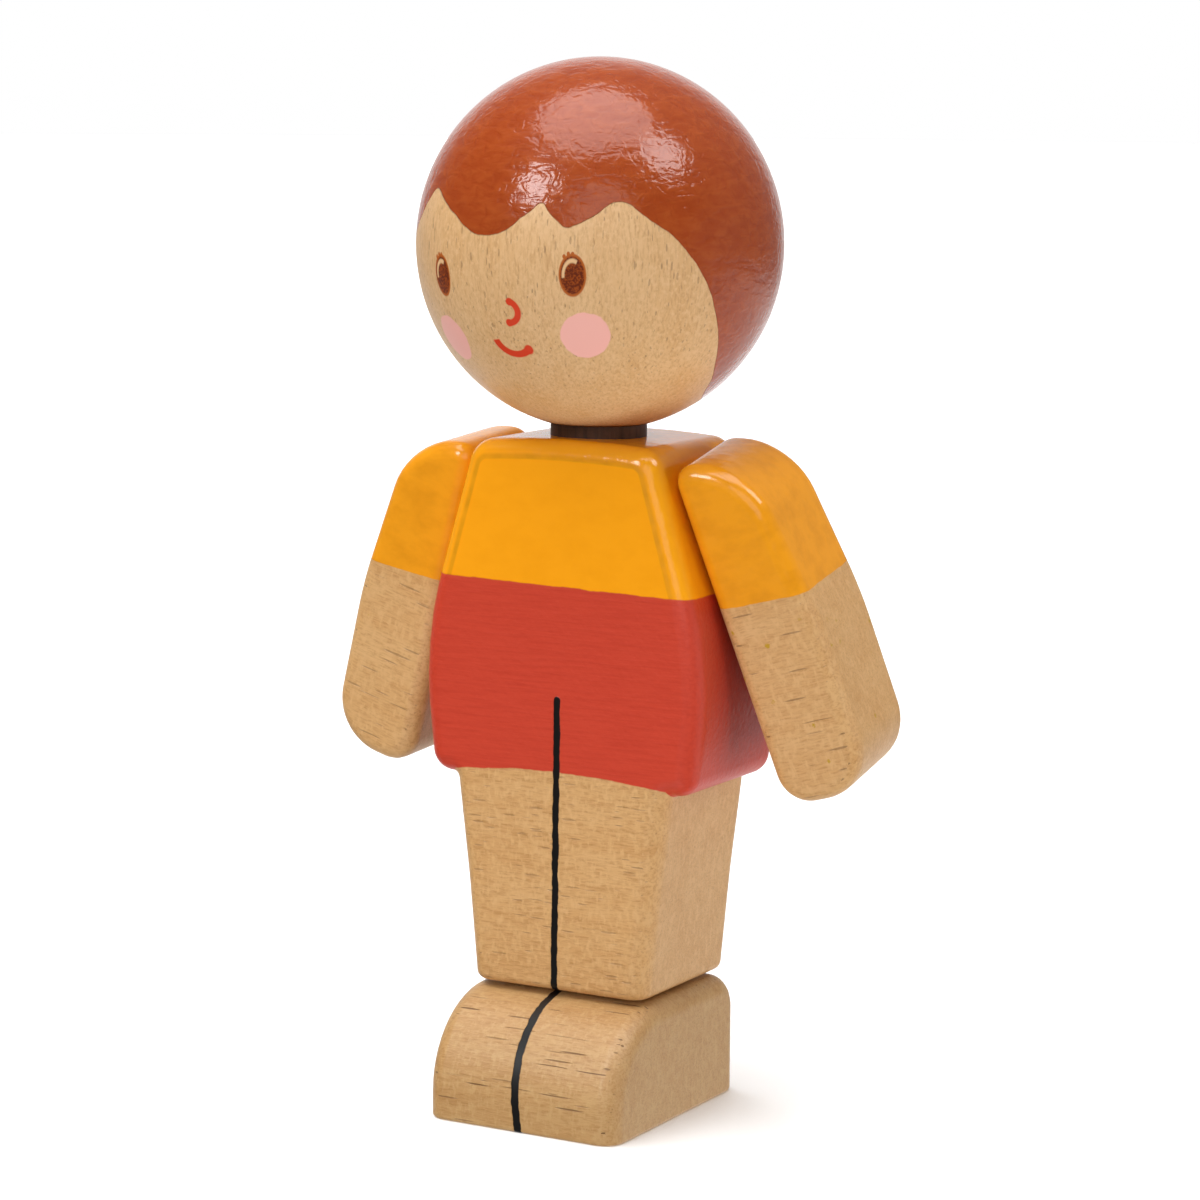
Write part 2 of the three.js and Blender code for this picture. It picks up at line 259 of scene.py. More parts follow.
FOOT_SHADES = "#b88c58", "#c39c69", "#a37542"
foot_wood, tree = blank_material("lacquered rubberwood foot")
place = millimetres(tree)
spot = add(tree, "SeparateXYZ", {"Vector": place})
bow = add(tree, "Math", {
    0: spot.outputs["Z"], 1: 1 / FOOT_LINE_TALL, 2: -1.0}, operation="MULTIPLY_ADD")
bowed = add(tree, "Math", {0: bow, 1: 2.0}, operation="POWER")
middle = add(tree, "Math", {
    0: bowed, 1: -FOOT_LINE_BOW, 2: FOOT_LINE_BOW}, operation="MULTIPLY_ADD")
off_line = add(tree, "Math", {0: spot.outputs["X"], 1: middle}, operation="ADD")
away = add(tree, "Math", {0: off_line}, operation="ABSOLUTE")
line = brushed_line(tree, away, place, FOOT_LINE_HALF)
front = add(tree, "MapRange", {
    "Value": spot.outputs["Y"], "From Min": FOOT_LINE_END, "From Max": FOOT_LINE_END - LINE_FADE})
line = add(tree, "Math", {0: line, 1: front}, operation="MULTIPLY")
wood = rubberwood(
    tree, place, along=(1, 0, 0), pore_gap=0.42, pore_length=7.0, pore_dark=0.95,
    shades=FOOT_SHADES)
black = {"colour": linear(LINE_BLACK), "rough": 0.45, "height": LINE_PROUD}
show(tree, lay_over(tree, wood, black, line))

foot = sawn_blank(FOOT_PROFILE, FOOT_WIDTH, FOOT_EDGE_ROUND)
to_side = Matrix.Rotation(math.pi / 2, 3, "Z")
bmesh.ops.rotate(foot, verts=foot.verts, cent=(0, 0, 0), matrix=to_side)
saw_flat(foot, 0.0, SOLE_ARRIS)
settle("foot_block_wood", foot, foot_wood, "torso", "bare_wood", "foot_block")

# Body plank
# One rubberwood plank sawn to shoulders, hips and legs in a single outline. The edges are sanded
# round, then shirt and shorts are dipped and brushed on and the legs are left as lacquered wood.
BODY_THICK, BODY_MIDDLE = 17.4, 1.0
BODY_EDGE_ROUND, BODY_CORNER, LEG_ARRIS = 1.97, 2.15, 0.8
LEG_BASE, LEG_BASE_HALF, LEG_TAPER = 12.3, 9.5, 0.098
BODY_SIDE = [
    (LEG_BASE_HALF - SAW_SPARE * LEG_TAPER, LEG_BASE - SAW_SPARE, BODY_CORNER),
    (10.5, 22.5, 60.0),
    (11.75, 32.4, 0.6),
    (14.35, 32.4, BODY_CORNER),
    (15.736, 45.0, 30.0),
    (9.94, 64.95, 2.6),
]
BODY_CROWN = (0.0, 65.65, 90.0)
body_outline = BODY_SIDE + [BODY_CROWN] + [(-x, z, r) for x, z, r in reversed(BODY_SIDE)]

# Shirt: yellow gloss enamel, brushed thick, with a soft orange peel. It pulls thin to a darker line
# where the flat front turns, and a paler band on the round of the edge is a painted highlight.
SHIRT_YELLOW, SHIRT_DEEP, SHIRT_EDGE_HIGHLIGHT, SHIRT_THIN = "#fba313", "#f79f10", "#ffb01c", "#c98412"
YELLOW_FINISH = {"peel": 0.8, "rough": 0.15, "stretch": (0.3, 0.5, 0.5)}
# Shorts: red satin enamel, thin enough for the fine cross grain to show as faint level streaks.
SHORTS_RED, SHORTS_DEEP = "#c9412b", "#c03a25"
RED_FINISH = {"peel": 1.6, "rough": 0.36, "stretch": (0.2, 3.0, 3.0)}


def enamel(tree, place, thick, thin, peel, rough, stretch):
    """Brushed enamel: two close shades in streaks and an orange peel, each as patterns in a mm."""
    drawn = add(tree, "Mapping", {"Vector": place, "Scale": stretch})
    streak = add(tree, "TexNoise", {"Vector": drawn, "Scale": 1.0, "Detail": 4.0, "Roughness": 0.6})
    share = add(tree, "MapRange", {"Value": streak, "From Min": 0.42, "From Max": 0.72})
    colour = add(tree, "Mix", {0: share, 6: linear(thick), 7: linear(thin)}, data_type="RGBA")
    skin = add(tree, "TexNoise", {"Vector": place, "Scale": peel, "Detail": 2.0})
    height = add(tree, "Math", {0: streak, 1: 0.5, 2: skin}, operation="MULTIPLY_ADD")
    return {"colour": colour.outputs[2], "rough": rough, "height": height.outputs[0]}


def band(tree, value, begin, end):
    """A mask that comes in between the first two values and goes out between the last two."""
    comes = add(tree, "MapRange", {"Value": value, "From Min": begin[0], "From Max": begin[1]})
    goes = add(tree, "MapRange", {"Value": value, "From Min": end[1], "From Max": end[0]})
    return add(tree, "Math", {0: comes, 1: goes}, operation="MULTIPLY")


body_paint, tree = blank_material("painted and lacquered rubberwood body")
place = millimetres(tree)
spot = add(tree, "SeparateXYZ", {"Vector": place})
across, up = spot.outputs["X"], spot.outputs["Z"]
wander = add(tree, "TexNoise", {"Vector": place, "Scale": 0.5, "Detail": 3.0})

wood = rubberwood(tree, place, along=(1, 0, 0), pore_gap=0.42, pore_length=3.0, pore_dark=0.36)
shorts = enamel(tree, place, SHORTS_RED, SHORTS_DEEP, **RED_FINISH)
shirt = enamel(tree, place, SHIRT_YELLOW, SHIRT_DEEP, **YELLOW_FINISH)

# the paint pulls thin at the turn of the front and the back, and a painted highlight lies just
# beyond it; both bands are given by how many mm the round has fallen away from the flat
THIN_BEGIN, THIN_END = (0.002, 0.02), (0.05, 0.16)
HIGHLIGHT_BEGIN, HIGHLIGHT_END, HIGHLIGHT_SHARE = (0.15, 0.45), (0.7, 1.7), 0.35
depth = add(tree, "Math", {0: spot.outputs["Y"], 1: BODY_MIDDLE}, operation="SUBTRACT")
reach = add(tree, "Math", {0: depth}, operation="ABSOLUTE")
fall = add(tree, "Math", {0: BODY_THICK / 2, 1: reach}, operation="SUBTRACT")
thin = band(tree, fall, THIN_BEGIN, THIN_END)
thin = add(tree, "Math", {0: thin, 1: wander}, operation="MULTIPLY")
# a paler yellow laid on the round of the edge as a painted highlight
edge_highlight = band(tree, fall, HIGHLIGHT_BEGIN, HIGHLIGHT_END)
edge_highlight = add(tree, "Math", {0: edge_highlight, 1: HIGHLIGHT_SHARE}, operation="MULTIPLY")
highlighted = add(tree, "Mix", {0: edge_highlight, 6: shirt["colour"], 7: linear(SHIRT_EDGE_HIGHLIGHT)}, data_type="RGBA")
thinned = add(tree, "Mix", {
    0: thin, 6: highlighted.outputs[2], 7: linear(SHIRT_THIN)}, data_type="RGBA")
shirt["colour"] = thinned.outputs[2]

# the hem: level at the sides and a little higher at the middle of the front, as it was brushed; the
# step under each hip is red too
HEM_HEIGHT, HEM_BOW, HEM_WANDER = 33.88, 0.0058, 0.35
HIP_STEP_IN, HIP_STEP_OUT, HIP_STEP_DROP = 11.6, 12.2, 1.5
PAINT_EDGE = 0.06
hem_bow = add(tree, "Math", {0: across, 1: 2.0}, operation="POWER")
hem = add(tree, "Math", {0: hem_bow, 1: HEM_BOW, 2: up}, operation="MULTIPLY_ADD")
wide = add(tree, "Math", {0: across}, operation="ABSOLUTE")
under_hip = add(tree, "MapRange", {
    "Value": wide, "From Min": HIP_STEP_IN, "From Max": HIP_STEP_OUT, "To Max": HIP_STEP_DROP})
hem = add(tree, "Math", {0: hem, 1: under_hip}, operation="ADD")
hem = add(tree, "Math", {0: wander, 1: HEM_WANDER, 2: hem}, operation="MULTIPLY_ADD")
shorts_on = add(tree, "MapRange", {
    "Value": hem, "From Min": HEM_HEIGHT - PAINT_EDGE, "From Max": HEM_HEIGHT + PAINT_EDGE})
finish = lay_over(tree, wood, shorts, shorts_on)

# the shirt's lower edge, a shade lower on the figure's left
WAIST_HEIGHT, WAIST_SLOPE, WAIST_WANDER = 51.7, 0.022, 0.3
waist = add(tree, "Math", {0: across, 1: WAIST_SLOPE, 2: up}, operation="MULTIPLY_ADD")
waist = add(tree, "Math", {0: wander, 1: WAIST_WANDER, 2: waist}, operation="MULTIPLY_ADD")
shirt_on = add(tree, "MapRange", {
    "Value": waist, "From Min": WAIST_HEIGHT - PAINT_EDGE, "From Max": WAIST_HEIGHT + PAINT_EDGE})
finish = lay_over(tree, finish, shirt, shirt_on)

# the line between the legs, with a round top where the brush came down
LINE_TOP, LINE_HALF, LINE_LEAN, LINE_SHIFT = 41.0, 0.36, -0.006, 0.2
BODY_LINE_END = -4.0
lean = add(tree, "Math", {0: up, 1: LINE_LEAN, 2: LINE_SHIFT}, operation="MULTIPLY_ADD")
side = add(tree, "Math", {0: across, 1: lean}, operation="ADD")
over = add(tree, "Math", {0: up, 1: LINE_TOP - LINE_HALF}, operation="SUBTRACT")
over = add(tree, "Math", {0: over, 1: 0.0}, operation="MAXIMUM")
away_xy = add(tree, "CombineXYZ", {"X": side, "Y": over})
away = add(tree, "VectorMath", {0: away_xy}, operation="LENGTH")
line = brushed_line(tree, away.outputs["Value"], place, LINE_HALF)
front = add(tree, "MapRange", {
    "Value": spot.outputs["Y"], "From Min": BODY_LINE_END, "From Max": BODY_LINE_END - LINE_FADE})
line = add(tree, "Math", {0: line, 1: front}, operation="MULTIPLY")
black = {"colour": linear(LINE_BLACK), "rough": 0.4, "height": LINE_PROUD}
show(tree, lay_over(tree, finish, black, line))

body = sawn_blank(body_outline, BODY_THICK, BODY_EDGE_ROUND)
bmesh.ops.translate(body, verts=body.verts, vec=(0, BODY_MIDDLE, 0))
saw_flat(body, LEG_BASE, LEG_ARRIS)
settle("body_plank_wood", body, body_paint, "torso", "body_wood", "body")

# Dowels
# Beech dowel rod, cut to length, its colour darkened as painted shade. Two pin the foot under
# the legs, two are the pegs that the arms swing on, and one is the neck, glued in the body for the
# head to turn on.
NECK_RADIUS, NECK_LOW, NECK_HIGH = 4.62, 57.43, 77.48
NECK_SIDES, DOWEL_CHAMFER = 96, 0.6
# Beech darkened all over as painted shade, for the shadow under the head: a dark brown with
# darker grain streaks along the rod, 5 mm long and half a mm wide.
DOWEL_SHADE_BROWN, DOWEL_SHADE_STREAK = "#4a2f1d", "#2e1b10"
STREAKS_A_MM = 2.2, 2.2, 0.2

shaded_dowel_rod, tree = blank_material("beech dowel rod darkened as painted shade")
place = millimetres(tree)
drawn = add(tree, "Mapping", {"Vector": place, "Scale": STREAKS_A_MM})
fleck = add(tree, "TexNoise", {"Vector": drawn, "Scale": 1.0, "Detail": 4.0, "Roughness": 0.65})
share = add(tree, "MapRange", {"Value": fleck, "From Min": 0.4, "From Max": 0.7})
# both browns are the rod's wood darkened as painted shade for the neck under the head
colour = add(tree, "Mix", {
    0: share, 6: linear(DOWEL_SHADE_BROWN), 7: linear(DOWEL_SHADE_STREAK)}, data_type="RGBA")
show(tree, {"colour": colour.outputs[2], "rough": 0.5, "height": fleck.outputs[0]})

neck = bmesh.new()
start = neck.verts.new((NECK_RADIUS, 0, NECK_LOW))
bmesh.ops.spin(
    neck, geom=[start], cent=(0, 0, NECK_LOW), axis=(0, 0, 1), angle=math.tau, steps=NECK_SIDES,
    use_merge=True)
bmesh.ops.remove_doubles(neck, verts=neck.verts, dist=MERGE)
bmesh.ops.edgenet_fill(neck, edges=neck.edges)
pushed = bmesh.ops.extrude_face_region(neck, geom=neck.faces[:])
moved = [part for part in pushed["geom"] if isinstance(part, bmesh.types.BMVert)]
bmesh.ops.translate(neck, verts=moved, vec=(0, 0, NECK_HIGH - NECK_LOW))
bmesh.ops.recalc_face_normals(neck, faces=neck.faces)
ends = [edge for edge in neck.edges if abs(edge.verts[0].co.z - edge.verts[1].co.z) < 1]
bmesh.ops.bevel(
    neck, geom=ends, affect="EDGES", offset_type="OFFSET", profile=0.5, material=-1,
    offset=DOWEL_CHAMFER, segments=2)
settle("neck_dowel_rod", neck, shaded_dowel_rod, "torso", "dowel_wood", "neck_dowel")
for name in ("ankle_dowel_left", "ankle_dowel_right", "shoulder_peg_left", "shoulder_peg_right"):
    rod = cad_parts[name]
    rod.data.materials.clear()
    rod.data.materials.append(shaded_dowel_rod)

# Rings
# Three small rubber rings that grip the neck and the two shoulder pegs, so that head and arms turn
# stiffly and stay where they are put. They sit in grooves inside the wood and never show.
# Nitrile rubber: matt black, greyed by wood dust in specks of a third of a mm.
RUBBER_BLACK, RUBBER_DUST, DUST_A_MM = "#1c1b1a", "#34322f", 3.0
ring_rubber, tree = blank_material("black nitrile rubber ring")
place = millimetres(tree)
dust = add(tree, "TexNoise", {"Vector": place, "Scale": DUST_A_MM, "Detail": 3.0})
share = add(tree, "MapRange", {"Value": dust, "From Min": 0.4, "From Max": 0.75})
colour = add(tree, "Mix", {
    0: share, 6: linear(RUBBER_BLACK), 7: linear(RUBBER_DUST)}, data_type="RGBA")
show(tree, {"colour": colour.outputs[2], "rough": 0.7, "height": dust.outputs[0]})
for name in ("neck_ring", "shoulder_ring_left", "shoulder_ring_right"):
    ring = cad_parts[name]
    ring.data.materials.clear()
    ring.data.materials.append(ring_rubber)

# Head
# A turned rubberwood ball, bored from below to turn on the neck. The face is stencilled on the bare
# lacquered wood and the hair is brushed on over it in thick gloss enamel that dried crinkled.
HEAD_RADIUS, HEAD_HALF_HEIGHT, HEAD_MIDDLE = 17.5, 17.65, 83.5
BORE_RADIUS, BORE_TOP = 4.75, 77.7
HEAD_RINGS, HEAD_SIDES = 64, 128

# the face is laid out in degrees round from the front, plus to the figure's left, and degrees up
head_paint, tree = blank_material("painted and lacquered turned rubberwood head")
place = millimetres(tree, (0, 0, HEAD_MIDDLE))
spot = add(tree, "SeparateXYZ", {"Vector": place})
ahead = add(tree, "Math", {0: spot.outputs["Y"], 1: -1.0}, operation="MULTIPLY")
flat_spot = add(tree, "CombineXYZ", {"X": spot.outputs["X"], "Y": spot.outputs["Y"]})
out = add(tree, "VectorMath", {0: flat_spot}, operation="LENGTH").outputs["Value"]
round_by = add(tree, "Math", {0: spot.outputs["X"], 1: ahead}, operation="ARCTAN2")
rise_by = add(tree, "Math", {0: spot.outputs["Z"], 1: out}, operation="ARCTAN2")
round_by = add(tree, "Math", {0: round_by, 1: math.degrees(1)}, operation="MULTIPLY")
rise_by = add(tree, "Math", {0: rise_by, 1: math.degrees(1)}, operation="MULTIPLY")
tremble = add(tree, "TexNoise", {"Vector": place, "Scale": 0.9, "Detail": 3.0})
face_spot = add(tree, "CombineXYZ", {"X": round_by, "Y": rise_by})

# the ball's grain stands upright, with its pattern set a little off the middle
BALL = "#d5a772", "#dfb685", "#bb8c59"
BALL_SHIFT = 3
upright = millimetres(tree, (BALL_SHIFT, 0, HEAD_MIDDLE), (0, 90, 0))
finish = rubberwood(
    tree, upright, along=(0, 0, 1), pore_gap=0.36, pore_length=1.6, pore_dark=0.43, shades=BALL,
    fleck_tall=0.3)


def oval(tree, spot, middle, half_width, half_height):
    """Where a spot lies in an oval on the face, and how far out: 1 at the oval's edge."""
    place = add(tree, "Mapping", {
        "Vector": spot, "Location": (*middle, 0), "Scale": (half_width, half_height, 1)},
        vector_type="TEXTURE")
    return place, add(tree, "VectorMath", {0: place}, operation="LENGTH").outputs["Value"]


def arc(tree, spot, middle, narrow, radius, half_stroke, soft, toward, half_sweep):
    """A brushed arc on the face: its middle, radius and half its stroke, and where it lies."""
    place, far = oval(tree, spot, middle, 1 / narrow, 1.0)
    off = add(tree, "Math", {0: far, 1: radius}, operation="SUBTRACT")
    off = add(tree, "Math", {0: off}, operation="ABSOLUTE")
    stroke = add(tree, "MapRange", {
        "Value": off, "From Min": half_stroke + soft, "From Max": half_stroke - soft})
    aim = math.radians(toward)
    aim_line = math.cos(aim), math.sin(aim), 0
    along = add(tree, "VectorMath", {0: place, 1: aim_line}, operation="DOT_PRODUCT")
    share = add(tree, "Math", {0: along.outputs["Value"], 1: far}, operation="DIVIDE")
    limit = math.cos(math.radians(half_sweep))
    ends = add(tree, "MapRange", {
        "Value": share, "From Min": limit - 0.04, "From Max": limit + 0.04})
    return add(tree, "Math", {0: stroke, 1: ends}, operation="MULTIPLY")


# Cheeks: thin pink stencil paint with a slightly ragged edge.
CHEEK_PINK, CHEEK_HALF_WIDTH, CHEEK_HALF_HEIGHT = "#efafa2", 8.3, 7.7
CHEEKS = [(24.9, -25.6), (-32.0, -29.0)]
pink = {"colour": linear(CHEEK_PINK), "rough": 0.45, "height": 0.6}
for middle in CHEEKS:
    _, far = oval(tree, face_spot, middle, CHEEK_HALF_WIDTH, CHEEK_HALF_HEIGHT)
    ragged = add(tree, "Math", {0: tremble, 1: 0.16, 2: far}, operation="MULTIPLY_ADD")
    cheek_on = add(tree, "MapRange", {"Value": ragged, "From Min": 1.11, "From Max": 1.05})
    finish = lay_over(tree, finish, pink, cheek_on)

# Mouth and nose: single strokes of orange-red, thicker where the brush was set down and lifted.
MOUTH_RED = "#d13a18"
STROKE_ENDS = [(4.1, -31.0, 1.7), (0.2, -15.1, 1.2), (-1.0, -21.9, 1.25)]
red = {"colour": linear(MOUTH_RED), "rough": 0.4, "height": 1.2}
nose = arc(
    tree, face_spot, (-0.9, -18.4), narrow=0.95, radius=3.5, half_stroke=1.05, soft=0.2,
    toward=-12, half_sweep=84)
smile = arc(
    tree, face_spot, (-1.2, -26.7), narrow=0.857, radius=6.15, half_stroke=1.22, soft=0.2,
    toward=254, half_sweep=63)
strokes = [nose, smile]
for round_at, rise_at, half in STROKE_ENDS:
    _, far = oval(tree, face_spot, (round_at, rise_at), half, half)
    strokes.append(add(tree, "MapRange", {"Value": far, "From Min": 1.15, "From Max": 0.85}))
for stroke in strokes:
    finish = lay_over(tree, finish, red, stroke)

# Eyes: dark brown ovals in an orange-brown rim, speckled, with three short lashes and a cream glint
# painted at the upper left.
EYE_RIM, EYE_GLINT, EYE_DARK, EYE_SPECK = "#ad5718", "#deb483", "#5c1e03", "#984510"
EYE_HALF_WIDTH, EYE_HALF_HEIGHT = 4.15, 6.45
EYES = [(21.3, -6.5), (-27.8, -8.3)]
LASHES, LASH_HALF_WIDTH, LASH_HALF_HEIGHT = [(-2.5, 5.6), (-1.2, 6.4), (0.1, 6.4)], 0.5, 0.7
speckle = add(tree, "TexNoise", {"Vector": place, "Scale": 5.0, "Detail": 2.0})
dapple = add(tree, "MapRange", {"Value": speckle, "From Min": 0.42, "From Max": 0.62})
eye_brown = add(tree, "Mix", {
    0: dapple, 6: linear(EYE_DARK), 7: linear(EYE_SPECK)}, data_type="RGBA")
rim = {"colour": linear(EYE_RIM), "rough": 0.4, "height": 1.0}
glint = {"colour": linear(EYE_GLINT), "rough": 0.4, "height": 1.0}
fill = {"colour": eye_brown.outputs[2], "rough": 0.35, "height": 1.0}
for round_at, rise_at in EYES:
    in_eye, far = oval(tree, face_spot, (round_at, rise_at), EYE_HALF_WIDTH, EYE_HALF_HEIGHT)
    rim_on = add(tree, "MapRange", {"Value": far, "From Min": 1.05, "From Max": 0.97})
    finish = lay_over(tree, finish, rim, rim_on)
    fill_on = add(tree, "MapRange", {"Value": far, "From Min": 0.92, "From Max": 0.84})
    finish = lay_over(tree, finish, fill, fill_on)
    glint_on = arc(
        tree, in_eye, (0, 0), narrow=1.0, radius=0.68, half_stroke=0.1, soft=0.04, toward=126,
        half_sweep=64)
    finish = lay_over(tree, finish, glint, glint_on)
    for lash_round, lash_rise in LASHES:
        middle = round_at + lash_round, rise_at + lash_rise
        _, far = oval(tree, face_spot, middle, LASH_HALF_WIDTH, LASH_HALF_HEIGHT)
        lash_on = add(tree, "MapRange", {"Value": far, "From Min": 1.2, "From Max": 0.8})
        finish = lay_over(tree, finish, rim, lash_on)

# Hair: thick brown gloss enamel, brushed round the head in strokes 2 mm long, crinkled and dimpled
# about once in a mm as it dried. Its edge is waved over the brow and falls behind the cheeks.
HAIR_BROWN, HAIR_DEEP, HAIR_WARM = "#9a3f16", "#8c3510", "#a54a1d"
HAIR_ROUGH, HAIR_RELIEF = 0.17, 1.35
STROKES_A_MM, STROKE_TURN = (0.5, 0.5, 1.5), (0.3, 0.45, 0)
FRINGE = [
    (-60, -3.4), (-55, 2), (-50, 5.9), (-46, 9), (-42.9, 12), (-39.4, 15.3), (-35.6, 18),
    (-32, 16.6), (-26.1, 13), (-21.1, 10.2), (-16.3, 7.1), (-11.4, 5.1), (-6.6, 4.8), (-2.2, 5.6),
    (1.2, 7.2), (5, 10.4), (8.1, 12.6), (11.5, 14.8), (13.1, 12.9), (14.9, 10.9), (17.1, 9),
    (19.5, 7.6), (22.1, 8.3), (25.1, 9.9), (28.4, 11.5), (31, 13.8), (34, 15.3), (37.8, 15),
    (41.1, 12.8), (44.4, 10.2), (47.8, 8), (51.6, 5.6), (54.8, 2.3), (60, -3.7)]
SIDE_HAIR = [
    (50, 6.6), (54.8, 2.3), (58.5, -1.7), (62.8, -7.4), (65.4, -11.2), (69.1, -17.9), (72.4, -23.8),
    (75.9, -30.1), (79.8, -36.9), (85.8, -43.8), (91.7, -50.5), (107, -56), (140, -58), (180, -58)]
HAIR_LOW, HAIR_HIGH = -60.0, 30.0
FRINGE_ENDS, SIDE_BEGINS = 54.5, 58.0


def hairline(tree, angle, points):
    """The hair's edge in degrees of height at an angle round the head."""
    first, last = points[0][0], points[-1][0]
    share = add(tree, "MapRange", {"Value": angle, "From Min": first, "From Max": last})
    edge = add(tree, "FloatCurve", {"Value": share})
    curve = edge.mapping.curves[0]
    for number, (at, rise) in enumerate(points):
        where = (at - first) / (last - first), (rise - HAIR_LOW) / (HAIR_HIGH - HAIR_LOW)
        if number < 2:
            curve.points[number].location = where
        else:
            curve.points.new(*where)
    edge.mapping.update()
    return add(tree, "MapRange", {"Value": edge, "To Min": HAIR_LOW, "To Max": HAIR_HIGH})


round_away = add(tree, "Math", {0: round_by}, operation="ABSOLUTE")
fringe = hairline(tree, round_by, FRINGE)
side_edge = hairline(tree, round_away, SIDE_HAIR)
beyond = add(tree, "MapRange", {
    "Value": round_away, "From Min": FRINGE_ENDS, "From Max": SIDE_BEGINS})
edge = add(tree, "Mix", {0: beyond, 2: fringe, 3: side_edge})
above = add(tree, "Math", {0: rise_by, 1: edge}, operation="SUBTRACT")
above = add(tree, "Math", {0: tremble, 1: 0.9, 2: above}, operation="MULTIPLY_ADD")
hair_on = add(tree, "MapRange", {"Value": above, "From Min": 0.25, "From Max": 0.65})

brushed = add(tree, "Mapping", {"Vector": place, "Scale": STROKES_A_MM, "Rotation": STROKE_TURN})
strokes = add(tree, "TexNoise", {
    "Vector": brushed, "Scale": 1.0, "Detail": 2.0, "Roughness": 0.5, "Distortion": 0.5})
crinkle = add(tree, "TexNoise", {
    "Vector": place, "Scale": 1.0, "Detail": 1.5, "Roughness": 0.5, "Distortion": 1.0})
shade = add(tree, "MapRange", {"Value": strokes, "From Min": 0.36, "From Max": 0.7})
hair_colour = add(tree, "Mix", {
    0: shade, 6: linear(HAIR_BROWN), 7: linear(HAIR_WARM)}, data_type="RGBA")
deep = add(tree, "MapRange", {"Value": crinkle, "From Min": 0.5, "From Max": 0.3, "To Max": 0.4})
hair_colour = add(tree, "Mix", {
    0: deep, 6: hair_colour.outputs[2], 7: linear(HAIR_DEEP)}, data_type="RGBA")
skin = add(tree, "Math", {0: strokes, 1: crinkle}, operation="ADD")
skin = add(tree, "Math", {0: skin, 1: HAIR_RELIEF, 2: 1.0}, operation="MULTIPLY_ADD")
hair = {"colour": hair_colour.outputs[2], "rough": HAIR_ROUGH, "height": skin.outputs[0]}
show(tree, lay_over(tree, finish, hair, hair_on))

head = bmesh.new()
bore_angle = math.asin(BORE_RADIUS / HEAD_RADIUS)
low_rim = (BORE_RADIUS, 0, -HEAD_RADIUS * math.cos(bore_angle))
arc_start = head.verts.new(low_rim)
bmesh.ops.spin(
    head, geom=[arc_start], cent=(0, 0, 0), axis=(0, -1, 0), angle=math.pi - bore_angle,
    steps=HEAD_RINGS)
bmesh.ops.scale(head, verts=head.verts, vec=(1, 1, HEAD_HALF_HEIGHT / HEAD_RADIUS))
bmesh.ops.translate(head, verts=head.verts, vec=(0, 0, HEAD_MIDDLE))
bore_wall = head.verts.new((BORE_RADIUS, 0, BORE_TOP))
bore_roof = head.verts.new((0, 0, BORE_TOP))
head.edges.new((arc_start, bore_wall))
head.edges.new((bore_wall, bore_roof))
bmesh.ops.spin(
    head, geom=head.verts[:] + head.edges[:], cent=(0, 0, 0), axis=(0, 0, 1), angle=math.tau,
    steps=HEAD_SIDES, use_merge=True)
settle("head_ball_wood", head, head_paint, "head", "head_wood", "head")

# Arms
# Two short arms sawn from the same board, each with a flat inner side that lies along the body's
# slant. The sleeves are brushed on in the shirt's yellow, laid a shade darker as painted shade; the
# rest is lacquered wood.
ARM_DEPTH, ARM_EDGE_ROUND = 12.0, 1.64
ARM_OUTLINE = [
    (0.3, 7.85, 1.9),
    (0.3, -26.8, 3.2),
    (10.0, -26.8, 5.4),
    (10.1, -10.0, 40.0),
    (8.2, 5.75, 7.5),
]
SIDE_TILT = 16.2
tilt = math.radians(SIDE_TILT)
PIVOT_OUT, PIVOT_HEIGHT = 12.25, 57.0
SLEEVE_EDGE, SLEEVE_WANDER = -6.32, 0.3
# the sleeves take a darker copy of the shirt's yellow as painted shade
SLEEVE_YELLOW_SHADED, SLEEVE_DEEP_SHADED = "#ee9b1a", "#e08f14"
# Specks of the sleeve's paint were rubbed into the bare wood below it: dull yellow, smeared, 2.4 mm
# apart, and in about two places out of three.
SPECK_YELLOW, SPECKS_A_MM, SPECK_SMEAR, SPECK_LEFT_OUT = "#bd9222", 0.42, 0.5, 0.35
